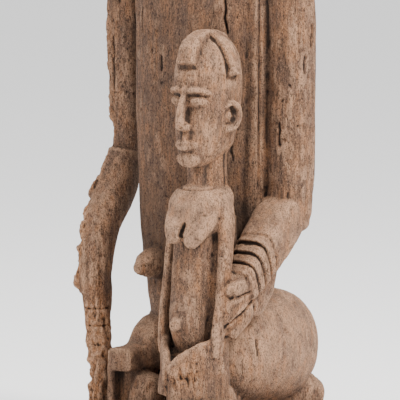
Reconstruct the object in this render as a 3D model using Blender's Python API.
"""Mother and child: a carved wooden figure group, cut from one log together with its low base.

The mother kneels and sits on her heels. A smaller figure stands against her left knee and faces the same
way, steadied by her left hand, while her right hand lies on her right knee. Metres, +Z up. The group faces
-Y, the mother's left is +X, and the origin is on the underside of the base.
"""

import math

import bmesh
import bpy
import numpy as np
from mathutils import Matrix, Vector

# Driving sizes of the group, in metres.
FIGURE_HEIGHT = 0.970  # top of the base to the mother's crest
BASE_WIDTH = 0.290
BASE_DEPTH = 0.350
BASE_HEIGHT = 0.030

# How finely the forms are merged, and how many triangles the merged carving keeps.
MERGE_GRAIN = 0.0024
SOFTENING = 1
TRIANGLES = 9300
SHARP_FROM = 35.0  # edges that turn by more degrees than this are shaded sharp

# The carving's proportions below are written for a figure 970 tall, so that one share is a millimetre of the
# real work, and follow FIGURE_HEIGHT. Heights are above the top of the base.
SHARE = FIGURE_HEIGHT / 970.0

BASE_SETBACK = -5.0  # middle of the base, in front of the torso's axis
ROOTING = 12.0  # how far legs run down into the base
ALLOWANCE = 1.6  # depth of the base before its underside is cut flat, in base heights

# Weathered wood: colour, roughness and metallic value.
WOOD_COLOUR = (0.235, 0.140, 0.085, 1.0)
WOOD_ROUGHNESS = 0.85
WOOD_METALLIC = 0.0


def clear_scene():
    """Remove whatever the file holds."""
    for thing in list(bpy.data.objects):
        bpy.data.objects.remove(thing, do_unlink=True)


def smooth_rows(rows, steps):
    """Catmull-Rom rows between the given ones: every number of a row flows from stop to stop."""
    stops = np.array(rows, dtype=float)
    padded = np.vstack([2 * stops[0] - stops[1], stops, 2 * stops[-1] - stops[-2]])
    made = []
    for i in range(len(stops) - 1):
        before, start, end, after = padded[i : i + 4]
        for t in np.arange(steps) / steps:
            line = 2 * start + (end - before) * t
            bend = (2 * before - 5 * start + 4 * end - after) * t**2
            twist = (3 * start - before - 3 * end + after) * t**3
            made.append(0.5 * (line + bend + twist))
    made.append(stops[-1])
    return np.array(made)


def oval(sides, power):
    """Unit points of a superellipse: power 2 is an ellipse, more is squarer."""
    turn = np.linspace(0.0, 2 * math.pi, sides, endpoint=False)
    cosine, sine = np.cos(turn), np.sin(turn)
    return (
        np.sign(cosine) * np.abs(cosine) ** (2 / power),
        np.sign(sine) * np.abs(sine) ** (2 / power),
    )


class Carving:
    """Gathers closed, overlapping forms in shares of the figure, to be merged into one."""

    def __init__(self):
        self.bm = bmesh.new()

    def skin(self, rings):
        """Close a stack of rings into a tube with a fan at each end."""
        made = [[self.bm.verts.new(point) for point in ring] for ring in rings]
        for lower, upper in zip(made, made[1:]):
            for i in range(len(lower)):
                j = (i + 1) % len(lower)
                self.bm.faces.new((lower[i], lower[j], upper[j], upper[i]))
        for ring, flip in ((made[0], True), (made[-1], False)):
            middle = self.bm.verts.new(sum((v.co for v in ring), Vector()) / len(ring))
            for i in range(len(ring)):
                pair = (ring[i], ring[(i + 1) % len(ring)])
                self.bm.faces.new((*(pair[::-1] if flip else pair), middle))

    def body(self, at, rows, power=2.2, sides=40, steps=4):
        """A form of level sections. A row is height, front, back and half width, from the axis at `at`."""
        across, deep = oval(sides, power)
        rings = []
        for height, front, back, half in smooth_rows(rows, steps):
            middle, reach = (front + back) / 2, (back - front) / 2
            xs, ys = at[0] + half * across, at[1] + middle + reach * deep
            rings.append([(x, y, height) for x, y in zip(xs, ys)])
        self.skin(rings)

    def limb(self, rows, side=(1, 0, 0), power=2.2, sides=20, steps=4, dome=True):
        """A form along a path. A row is x, y, z and two half sizes: along `side`, and square to it."""
        stops = smooth_rows(rows, steps)
        if dome:
            stops = self.domed(stops)
        across, deep = oval(sides, power)
        run = np.gradient(stops[:, :3], axis=0)
        rings = []
        for row, heading in zip(stops, run):
            forward = Vector(heading).normalized()
            out = (Vector(side) - forward * forward.dot(Vector(side))).normalized()
            up = forward.cross(out)
            middle = Vector(row[:3])
            rings.append([middle + out * (row[3] * x) + up * (row[4] * y) for x, y in zip(across, deep)])
        self.skin(rings)

    @staticmethod
    def domed(stops, rounds=3):
        """Add shrinking rows beyond both ends, so that the limb ends in a dome."""
        made = list(stops)
        for first, second, add in ((0, 1, "before"), (-1, -2, "after")):
            end, inner = stops[first], stops[second]
            heading = (end - inner)[:3]
            heading /= np.linalg.norm(heading)
            reach = 0.8 * min(end[3], end[4])
            for k in range(1, rounds + 1):
                angle = math.pi / 2 * k / (rounds + 0.35)
                row = end.copy()
                row[:3] += heading * reach * math.sin(angle)
                row[3:5] *= math.cos(angle)
                made.insert(0, row) if add == "before" else made.append(row)
        return np.array(made)

    def blob(self, at, radii, turn=0.0):
        """An ellipsoid, turned by `turn` degrees about the upright axis."""
        place = Matrix.Translation(at) @ Matrix.Rotation(math.radians(turn), 4, "Z")
        place = place @ Matrix.Diagonal((*radii, 1.0))
        bmesh.ops.create_icosphere(self.bm, subdivisions=3, radius=1.0, matrix=place)


# Places and sizes that several forms share, in shares.
ARM_OUT = 127.0  # the mother's upper arms, from her axis
ARM_BACK = 16.0
LUMP = (0.75, 0.75, 1.15)  # shape of a lump of the right forearm's crust, in its size
LUMP_FACING = 38.0  # degrees about the upright axis
LUMP_JUT, LUMP_WAVE = 1.8, 2.4  # how far lumps jut in turn, and the turn from one to the next
CHILD = (74.0, -95.0)  # the child's axis

# Bracelets: the middle of the first, the step to the next, the way they face, and their half length.
FIRST_BAND = np.array((121.9, -50.3, 216.0))
BAND_STEP = np.array((-0.8, -9.3, -11.0))
BAND_FACING = np.array((0.0, -0.93, -0.37))
BAND_HALF = 5.4
BANDS = 4

# Heads: the recipe's own height, then for each head the point under its chin and its height.
HEAD_UNIT = 171.0
CHILD_HEAD = (74.0, -85.0, 326.0)
CHILD_HEAD_HEIGHT = 165.0
MOTHER_HEAD = (0.0, 4.0, 690.0)
MOTHER_HEAD_HEIGHT = 262.0


def mother_legs(carving):
    """Broad hips on folded legs: the thighs run forward to the knees, with calves and feet under them."""
    right_thigh = [
        (-55, -86, 77, 18, 14.5),
        (-50, -62, 80, 22, 20),
        (-46, -36, 91, 28, 37),
        (-49, -4, 87, 38, 43),
        (-57, 40, 88, 51, 61),
        (-58, 78, 87, 51, 64),
        (-50, 102, 84, 34, 44),
    ]
    left_thigh = [
        (50, -84, 80, 30, 32),
        (60, -46, 88, 54, 62),
        (65, 0, 91, 59, 70),
        (65, 40, 91, 60, 73),
        (60, 78, 87, 54, 66),
        (50, 102, 84, 34, 44),
    ]
    carving.limb(right_thigh, sides=48, power=2.8)
    carving.limb(left_thigh, sides=48, power=2.1)
    knee = [(-54, -66, 77, 20, 15), (-54, -84, 77, 20, 15), (-54, -98, 77, 19.5, 14.5)]
    carving.limb(knee, power=4.5, dome=False)
    carving.limb([(-71, -84, -ROOTING, 6, 13), (-70, -86, 68, 6, 12)], power=3.0, dome=False)
    carving.limb([(-54, -58, -ROOTING, 24, 26), (-54, -60, 62, 22, 24)], power=2.8)
    carving.limb([(-30, -72, -ROOTING, 24, 20), (-29, -74, 30, 23, 19), (-27, -72, 50, 19, 15)], power=2.6)
    carving.limb([(54, -86, -ROOTING, 24, 19), (53, -87, 40, 23, 18), (52, -84, 80, 23, 17)], power=2.6)
    for side in (-1, 1):
        calf_and_foot = [
            (side * 54, -66, 16, 22, 20),
            (side * 52, -24, 28, 26, 32),
            (side * 58, 50, 28, 28, 30),
            (side * 64, 108, 26, 26, 28),
            (side * 66, 132, 20, 24, 22),
        ]
        carving.limb(calf_and_foot)
    seat = [
        (-ROOTING, -50, 108, 66),
        (60, -42, 112, 66),
        (104, -38, 108, 62),
        (144, -36, 88, 56),
        (176, -34, 60, 52),
    ]
    carving.body((0, 0), seat)


def mother_trunk(carving):
    """The long upright trunk, its raised left flank, the neck, shoulders, breasts and navel."""
    trunk = [
        (40, -34, 60, 56),
        (108, -45, 62, 69),
        (160, -50, 52, 75),
        (220, -54, 48, 82),
        (284, -55, 50, 86),
        (400, -57, 52, 90),
        (520, -57, 54, 93),
        (556, -56, 54, 108),
        (588, -50, 50, 128),
        (606, -40, 42, 112),
        (618, -26, 32, 60),
    ]
    carving.body((0, 0), trunk, sides=96)
    flank = [(84, -8, 232, 16, 15), (88, -6, 300, 15, 16), (90, -5, 430, 15, 16), (92, -4, 560, 16, 18)]
    carving.limb(flank)
    neck = [(596, -36, 36, 38), (640, -32, 34, 33), (720, -34, 36, 35)]
    carving.body((0, 4), neck)
    for side in (-1, 1):
        shoulder = [(side * 40, 2, 598, 30, 20), (side * 96, 8, 588, 33, 26), (side * 124, 14, 566, 29, 27)]
        carving.limb(shoulder, side=(0, 1, 0))
        breast = [(side * 32, -36, 196, 23, 23), (side * 37, -61, 194, 18, 18), (side * 39, -78, 190, 7, 8)]
        carving.limb(breast)
    carving.limb([(0, -44, 148, 9, 9), (0, -60, 147, 7, 7)])


def mother_arms(carving):
    """Upper arms that hang straight. The left forearm bends at the hip, the thin right one higher up."""
    left_upper = [
        (ARM_OUT - 8, ARM_BACK - 4, 588, 28, 30),
        (ARM_OUT, ARM_BACK, 520, 27.5, 27.5),
        (ARM_OUT, ARM_BACK, 330, 27, 27),
        (ARM_OUT - 1, ARM_BACK - 2, 264, 26, 26),
    ]
    carving.limb(left_upper, sides=36, power=2.5)
    left_fore = [
        (ARM_OUT - 3, 18, 262, 27, 22),
        (ARM_OUT - 3, -1, 259, 28, 26),
        (ARM_OUT - 3.5, -21, 239, 28, 25.5),
        (ARM_OUT - 5, -46, 214, 26.5, 24.5),
        (ARM_OUT - 6, -70, 190, 24, 22),
    ]
    carving.limb(left_fore, sides=36, power=4.2)
    right_upper = [
        (8 - ARM_OUT, ARM_BACK - 4, 588, 28, 30),
        (-ARM_OUT, ARM_BACK, 520, 27.5, 27.5),
        (-ARM_OUT, ARM_BACK, 400, 25, 26),
        (-ARM_OUT, ARM_BACK, 350, 19, 21),
        (-ARM_OUT, ARM_BACK - 3, 316, 18, 20),
    ]
    carving.limb(right_upper, sides=36, power=2.5)
    right_fore = [
        (-ARM_OUT, 8, 326, 20, 22),
        (-ARM_OUT - 1, 2, 306, 22.5, 24),
        (-ARM_OUT - 1, -16, 272, 24, 25),
        (-ARM_OUT, -42, 236, 21.5, 22.5),
        (-ARM_OUT, -56, 184, 20.5, 20.5),
        (-ARM_OUT + 4, -56, 148, 17, 18),
        (-ARM_OUT + 13, -66, 100, 14.5, 15),
        (-ARM_OUT + 27, -75, 56, 14, 15),
        (-ARM_OUT + 30, -78, -6, 14, 16),
    ]
    carving.limb(right_fore, sides=36, power=2.5, dome=False)


def forearm_crust(carving):
    """What is left of the right forearm's outer shell: a splinter, then lumps down to the wrist."""
    splinter = [(-142, -24, 300, 3, 4), (-147, -31, 285, 4, 5), (-149.5, -37, 271, 3, 4)]
    carving.limb(splinter)
    shell = [
        (-140, -37, 257, 5),
        (-142, -54, 234, 6.5),
        (-141, -63, 204, 8.5),
        (-140, -66, 182, 9),
        (-139, -66, 158, 7.5),
    ]
    for i, (x, y, height, size) in enumerate(smooth_rows(shell, 3)):
        jut = LUMP_JUT * math.sin(LUMP_WAVE * i)
        carving.blob((x - jut, y - jut, height), [size * part for part in LUMP], LUMP_FACING)


def mother_left_hand(carving):
    """Flat bracelets that touch, the hand laid against the child, and the web of wood under the wrist."""
    for i in range(BANDS):
        middle = FIRST_BAND + BAND_STEP * i
        sizes = (27.6 - 0.9 * i, 24.4 - 0.8 * i)
        ends = [middle - BAND_HALF * BAND_FACING, middle, middle + BAND_HALF * BAND_FACING]
        carving.limb([(*end, *sizes) for end in ends], sides=60, steps=2, power=3.0, dome=False)
    palm = [
        (121, -62, 194, 24, 22),
        (120, -82, 179, 21, 19),
        (118, -94, 158, 14, 18),
        (112, -100, 128, 9, 13),
    ]
    carving.limb(palm, power=2.8)
    carving.blob((116, -96, 187), (11, 10, 12))
    thumb = [(134, -89, 184, 7, 7.5), (130, -99, 181, 8.5, 8.5), (125, -106, 178, 7, 7)]
    carving.limb(thumb, power=2.6)
    index = [(132, -76, 175, 8, 6.5), (127, -90, 157, 8, 6.5), (120, -102, 137, 7, 5.5)]
    carving.limb(index, power=3.4)
    fingers = [(128, -66, 160, 8, 10), (126, -80, 143, 9, 10.5), (119, -94, 125, 8, 8.5)]
    carving.limb(fingers, power=3.4)
    web = [(122, -40, 204, 16, 26), (121, -44, 176, 14, 24), (115, -50, 150, 13, 18)]
    carving.limb(web, power=2.6)


def child(carving):
    """The child: neck, cape and lobes, belly, thin arms, and a lap that is one upright block."""
    x, y = CHILD
    carving.body((x, y), [(285, -16, 36, 25), (312, -13, 34, 23.5), (352, -14, 34, 24)])
    cape = [
        (234, -36, 0, 15),
        (239, -40, 10, 22),
        (248, -41, 18, 30),
        (262, -38, 24, 37),
        (280, -34, 31, 41),
        (292, -29, 33, 38),
        (299, -24, 33, 31),
        (303, -17, 30, 20),
    ]
    carving.body((x, y), cape, power=2.3)
    for side, lift in ((-1, 4), (1, 0)):
        lobe = [
            (x + 1 + side * 26, y - 13, 273 + lift, 12, 9),
            (x + 2 + side * 20, y - 27, 257 + lift, 14, 10),
            (x + 2.5 + side * 14, y - 37, 244 + lift, 13.5, 9),
            (x + 2.5 + side * 11, y - 42, 235 + lift, 10.5, 6.5),
        ]
        carving.limb(lobe, power=3.0)
    belly = [
        (60, -28, 18, 21),
        (92, -33, 14, 22.5),
        (114, -41, 10, 24.5),
        (132, -47, 9, 25),
        (150, -47, 8, 25),
        (190, -42, 8, 25.5),
        (246, -34, 10, 26),
    ]
    carving.body((x, y), belly, power=2.4)
    bowl = [(48, -60, 0, 36), (72, -58, 0, 35), (88, -46, 0, 32), (104, -33, 0, 26)]
    carving.body((x, y), bowl, power=2.4)
    carving.limb([(x, y - 40, 138, 10, 9), (x, y - 49, 137, 9.5, 8.5), (x, y - 56, 134, 6, 6)])
    flanks = [(60, -16, 20, 36), (120, -20, 14, 40), (190, -17, 12, 40), (262, -8, 12, 38)]
    carving.body((x, y), flanks, power=2.6)
    lap = [(-ROOTING, -66, 38, 38.5), (20, -66, 38, 37.5), (62, -66.5, 38, 38), (76, -66, 36, 38)]
    carving.body((x + 5, y), lap, power=1.5)
    carving.blob((x + 31, y, 22), (17, 26, 40))
    back_web = [(0, -44, 40, 26), (120, -40, 30, 24), (262, -26, 24, 18)]
    carving.body((x - 4, y + 40), back_web)
    for side in (-1, 1):
        arm = [
            (x + side * 30, y + 2, 292, 6, 8),
            (x + side * 35, y + 2, 277, 8, 12),
            (x + side * 39, y - 2, 244, 8, 12),
            (x + side * 42, y - 12, 180, 6.5, 10),
            (x + side * 41.5, y - 22, 122, 6.5, 10),
            (x + side * 40, y - 23, 98, 6, 9),
        ]
        carving.limb(arm, power=2.6)
        forearm = [
            (x + side * 40, y - 19, 97, 24, 6.5),
            (x + side * 29.5, y - 35.5, 91, 23, 6),
            (x + side * 17.5, y - 49.5, 83, 21, 6),
            (x + side * 6, y - 62, 72, 18, 6),
        ]
        carving.limb(forearm, side=(0, 0, 1), power=3.6)


def head_place(under_chin, height, point):
    """A point of the head recipe, carried to a head of some height above its chin."""
    k = height / HEAD_UNIT
    return tuple(start + k * part for start, part in zip(under_chin, point))


def head(carving, under_chin, height, crest):
    """A long egg of a head with a strong jaw, a plain mask of a face, and ridged hair."""
    k = height / HEAD_UNIT

    def rows(*stops):
        made = []
        for stop in stops:
            middle = head_place(under_chin, height, stop[:3])
            made.append((*middle, *(size * k for size in stop[3:])))
        return made

    skull = [
        (2, -38, 2, 14),
        (8, -43, 16, 20),
        (16, -45, 28, 25),
        (28, -46, 37, 29.5),
        (48, -46, 43, 33),
        (72, -44.5, 48, 35.5),
        (98, -46, 51, 37),
        (122, -46, 50, 36.5),
        (141, -38, 46, 33),
        (155, -26, 38, 25),
        (164, -8, 25, 13),
    ]
    levels = [(under_chin[2] + z * k, front * k, back * k, half * k) for z, front, back, half in skull]
    carving.body(under_chin[:2], levels, sides=96)
    nose = rows((0, -43, 106, 4, 4), (0, -50, 86, 4.2, 5), (0, -55, 64, 5.2, 7), (0, -52, 53, 8.5, 6))
    carving.limb(nose, power=2.8)
    for side in (-1, 1):
        brow = rows(
            (side * 2, -46, 97, 3, 4),
            (side * 17, -44, 100, 3.2, 4.4),
            (side * 30, -31, 95, 2.4, 3.4),
        )
        carving.limb(brow, side=(0, 0, 1))
        lid = head_place(under_chin, height, (side * 17, -38.5, 85))
        carving.blob(lid, (12 * k, 7 * k, 6.4 * k), side * 30)
        nostril = head_place(under_chin, height, (side * 7, -49, 53))
        carving.blob(nostril, (4.4 * k, 5 * k, 4.4 * k))
        ear = rows(
            (side * 34, -4, 49, 4, 4),
            (side * 37, 5, 50, 5, 4.4),
            (side * 40, 13, 62, 5, 4.6),
            (side * 40, 11, 75, 5, 4.6),
            (side * 38, 1, 81, 5, 4.4),
            (side * 35, -6, 78, 4, 3.4),
        )
        carving.limb(ear, power=2.8)
        inner_ear = head_place(under_chin, height, (side * 34, 2, 65))
        carving.blob(inner_ear, (5.5 * k, 7 * k, 10 * k))
        lock = rows(
            (side * 8, 4, 163, 8, 7),
            (side * 23, 5, 152, 9, 8.5),
            (side * 34, 6, 132, 9.5, 8.5),
            (side * 38.5, 6, 116, 9.5, 8),
        )
        carving.limb(lock, side=(0, 1, 0), power=4.5, dome=False)
    carving.limb(rows((0, -44.5, 56, 8, 5), (0, -45, 34, 8, 5)))
    for height_up, droop in ((33.0, 2.2), (26.4, -2.0)):
        corner = (-42, height_up - droop, 2.2, 3)
        lip = rows((-15, *corner), (0, -48.5, height_up, 3.8, 4.2), (15, *corner))
        carving.limb(lip, side=(0, 0, 1))
    chin = head_place(under_chin, height, (0, -36.5, 12))
    carving.blob(chin, (18 * k, 12 * k, 11.5 * k))
    ridge = rows(
        (2, -44.5, 131, 13.5, 9),
        (1.5, -34, 154, 13, 9),
        (0, -8, 165, 11, 8),
        (0, 20, 164, 10, 6),
        (0, 42, 146, 9, 6),
        (0, 49, 112, 8, 5),
        (0, 44, 80, 6, 4),
    )
    carving.limb(ridge, power=4.5, dome=False)
    if crest:
        comb = rows((0, -26, 160, 5, 6), (0, 0, 174, 5, 8), (0, 26, 168, 5, 8), (0, 46, 140, 4, 6))
        carving.limb(comb)


def base(carving):
    """A low oval block. It runs below the underside, where it is cut flat after the merge."""
    half, reach = BASE_WIDTH / 2 / SHARE, BASE_DEPTH / 2 / SHARE
    lowest = -ALLOWANCE * BASE_HEIGHT / SHARE
    rows = [(height, -reach, reach, half) for height in (lowest, lowest / 2, 0.0)]
    carving.body((0, BASE_SETBACK), rows, power=2.6, sides=96, steps=2)


def new_object(name, mesh):
    """Put a mesh in the scene under a name."""
    thing = bpy.data.objects.new(name, mesh)
    bpy.context.scene.collection.objects.link(thing)
    return thing


def evaluated(thing):
    """A new mesh of the object with its modifiers applied."""
    graph = bpy.context.evaluated_depsgraph_get()
    return bpy.data.meshes.new_from_object(thing.evaluated_get(graph))


def merge(carving):
    """Merge the overlapping forms into one closed skin, soften it and thin it to TRIANGLES."""
    mesh = bpy.data.meshes.new("forms")
    carving.bm.to_mesh(mesh)
    carving.bm.free()
    mesh.transform(Matrix.Translation((0, 0, BASE_HEIGHT)) @ Matrix.Scale(SHARE, 4))
    rough = new_object("forms", mesh)
    weld = rough.modifiers.new("merge", "REMESH")
    weld.mode = "VOXEL"
    weld.voxel_size = MERGE_GRAIN
    soften = rough.modifiers.new("soften", "SMOOTH")
    soften.factor = 0.5
    soften.iterations = SOFTENING
    merged = evaluated(rough)
    bpy.data.objects.remove(rough)
    full = new_object("merged", merged)
    thin = full.modifiers.new("thin", "DECIMATE")
    thin.ratio = TRIANGLES / (2 * len(merged.polygons))
    thinned = evaluated(full)
    bpy.data.objects.remove(full)
    return thinned


def cut_flat(mesh):
    """Cut the underside flat at z = 0 and close it."""
    bm = bmesh.new()
    bm.from_mesh(mesh)
    everything = [*bm.verts, *bm.edges, *bm.faces]
    bmesh.ops.bisect_plane(
        bm, geom=everything, plane_co=(0, 0, 0), plane_no=(0, 0, -1), clear_outer=True
    )
    rim = [edge for edge in bm.edges if edge.is_boundary]
    bmesh.ops.contextual_create(bm, geom=rim)
    bmesh.ops.triangulate(bm, faces=bm.faces[:])
    bmesh.ops.recalc_face_normals(bm, faces=bm.faces[:])
    bm.to_mesh(mesh)
    bm.free()


def wood():
    """Dry, weathered wood."""
    material = bpy.data.materials.new("weathered_wood")
    material.use_nodes = True
    shader = material.node_tree.nodes["Principled BSDF"]
    shader.inputs["Base Color"].default_value = WOOD_COLOUR
    shader.inputs["Roughness"].default_value = WOOD_ROUGHNESS
    shader.inputs["Metallic"].default_value = WOOD_METALLIC
    return material


def main():
    clear_scene()
    carving = Carving()
    base(carving)
    mother_legs(carving)
    mother_trunk(carving)
    mother_arms(carving)
    forearm_crust(carving)
    mother_left_hand(carving)
    child(carving)
    head(carving, CHILD_HEAD, CHILD_HEAD_HEIGHT, crest=False)
    head(carving, MOTHER_HEAD, MOTHER_HEAD_HEIGHT, crest=True)
    mesh = merge(carving)
    cut_flat(mesh)
    group = new_object("mother_and_child", mesh)
    mesh.materials.append(wood())
    mesh.shade_smooth()
    mesh.set_sharp_from_angle(angle=math.radians(SHARP_FROM))
    return group


main()
